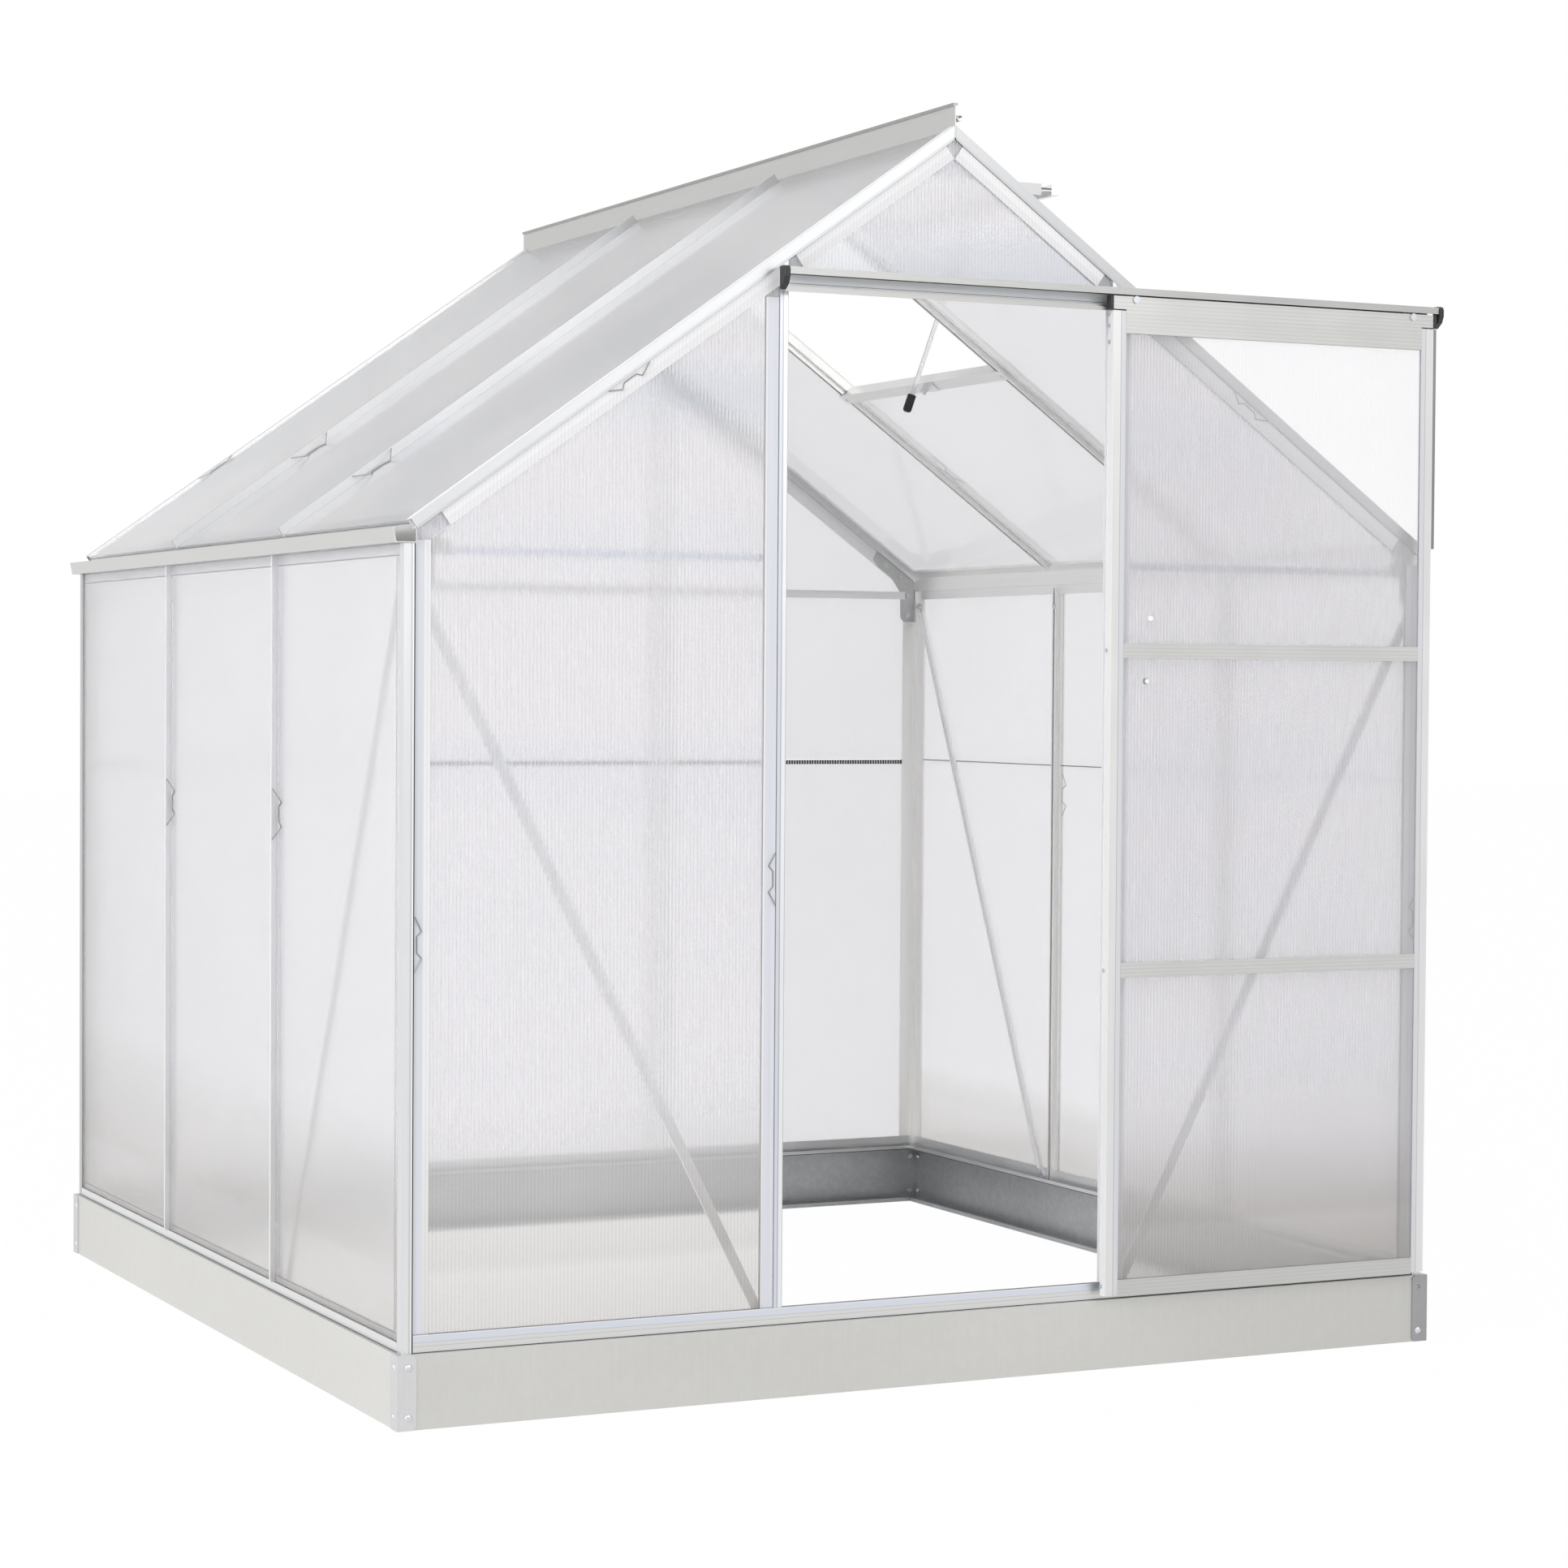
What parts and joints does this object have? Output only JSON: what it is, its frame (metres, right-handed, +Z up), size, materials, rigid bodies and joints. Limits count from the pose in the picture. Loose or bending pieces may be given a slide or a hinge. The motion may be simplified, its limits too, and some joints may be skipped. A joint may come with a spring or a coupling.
{
  "type": "walk-in greenhouse",
  "caption": "Small walk-in greenhouse: aluminium glazing-bar frame with twin-wall sheets on a steel base, with a sliding door and a hinged roof vent.",
  "frame": {"origin": "middle of the base, on the ground", "axes": "+Z up, -Y towards the door gable, X across the gable"},
  "size_m": [1.86, 1.87, 2.0149],
  "materials": {
    "galvanised_steel": "hot-dip galvanised, soft spangle",
    "zinc_bolts": "zinc-plated hexagon heads and nuts",
    "mill_aluminium": "satin mill-finish extrusion",
    "pressed_aluminium": "flat pressed plate",
    "twin_wall": "translucent fluted sheet",
    "black_plastic": "moulded",
    "white_nylon": "moulded",
    "black_rubber": "dipped grip"
  },
  "bodies": {
    "frame": {"base_front": "galvanised_steel", "base_rear": "galvanised_steel", "base_left": "galvanised_steel", "base_right": "galvanised_steel", "base_corner_plates": "galvanised_steel", "base_bolts": "zinc_bolts", "frame_bolts": "zinc_bolts", "sill_front": "mill_aluminium", "sill_rear": "mill_aluminium", "sill_left": "mill_aluminium", "sill_right": "mill_aluminium", "post_front_left": "mill_aluminium", "post_front_right": "mill_aluminium", "post_rear_left": "mill_aluminium", "post_rear_right": "mill_aluminium", "wall_bars_left": "mill_aluminium", "wall_bars_right": "mill_aluminium", "rear_studs": "mill_aluminium", "door_post_left": "mill_aluminium", "door_post_right": "mill_aluminium", "gutter_left": "mill_aluminium", "gutter_right": "mill_aluminium", "rafters_front": "mill_aluminium", "rafters_rear": "mill_aluminium", "roof_bars_left": "mill_aluminium", "roof_bars_right": "mill_aluminium", "ridge_bar": "mill_aluminium", "tie_bars": "mill_aluminium", "front_braces": "mill_aluminium", "side_braces": "mill_aluminium", "track_support": "mill_aluminium", "door_track": "mill_aluminium", "vent_sill": "mill_aluminium", "ridge_plates": "pressed_aluminium", "corner_gussets": "pressed_aluminium", "stay_catch": "pressed_aluminium", "sheets_left": "twin_wall", "sheets_right": "twin_wall", "sheets_roof_left": "twin_wall", "sheets_roof_right": "twin_wall", "sheets_front": "twin_wall", "sheets_rear": "twin_wall", "track_end_caps": "black_plastic", "tie_pads": "white_nylon", "door_guide": "white_nylon"},
    "door": {"door_stiles": "mill_aluminium", "door_top_rail": "mill_aluminium", "door_lower_rails": "mill_aluminium", "door_sheets": "twin_wall", "door_fittings": "zinc_bolts", "door_buffers": "black_plastic"},
    "roller_left": {"roller_left": "white_nylon"},
    "roller_right": {"roller_right": "white_nylon"},
    "vent": {"vent_hinge_rail": "mill_aluminium", "vent_side_rails": "mill_aluminium", "vent_bottom_rail": "mill_aluminium", "vent_sheet": "twin_wall"},
    "stay": {"stay_arm": "pressed_aluminium", "stay_handle": "black_rubber"}
  },
  "joints": [
    {"name": "door_slide", "type": "slide", "parent": "frame", "child": "door", "axis": [1, 0, 0], "range_m": [-0.567, 0]},
    {"name": "roller_left_spin", "type": "hinge", "parent": "door", "child": "roller_left", "pos_m": [0.315, -0.922, 1.721], "axis": [0, 1, 0], "continuous": true},
    {"name": "roller_right_spin", "type": "hinge", "parent": "door", "child": "roller_right", "pos_m": [0.853, -0.922, 1.721], "axis": [0, 1, 0], "continuous": true},
    {"name": "vent_hinge", "type": "hinge", "parent": "frame", "child": "vent", "pos_m": [0.00811, 0, 1.99183], "axis": [0, 1, 0], "range_deg": [0, 35.4]},
    {"name": "stay_pivot", "type": "hinge", "parent": "vent", "child": "stay", "pos_m": [0.52111, -0.022, 1.97803], "axis": [0, 1, 0], "range_deg": [-14.2, 0]}
  ],
  "couplings": [
    {"joint": "roller_left_spin", "follows": "door_slide", "rad_per_m": 125},
    {"joint": "roller_right_spin", "follows": "door_slide", "rad_per_m": 125},
    {"joint": "stay_pivot", "follows": "vent_hinge", "ratio": -0.4}
  ]
}
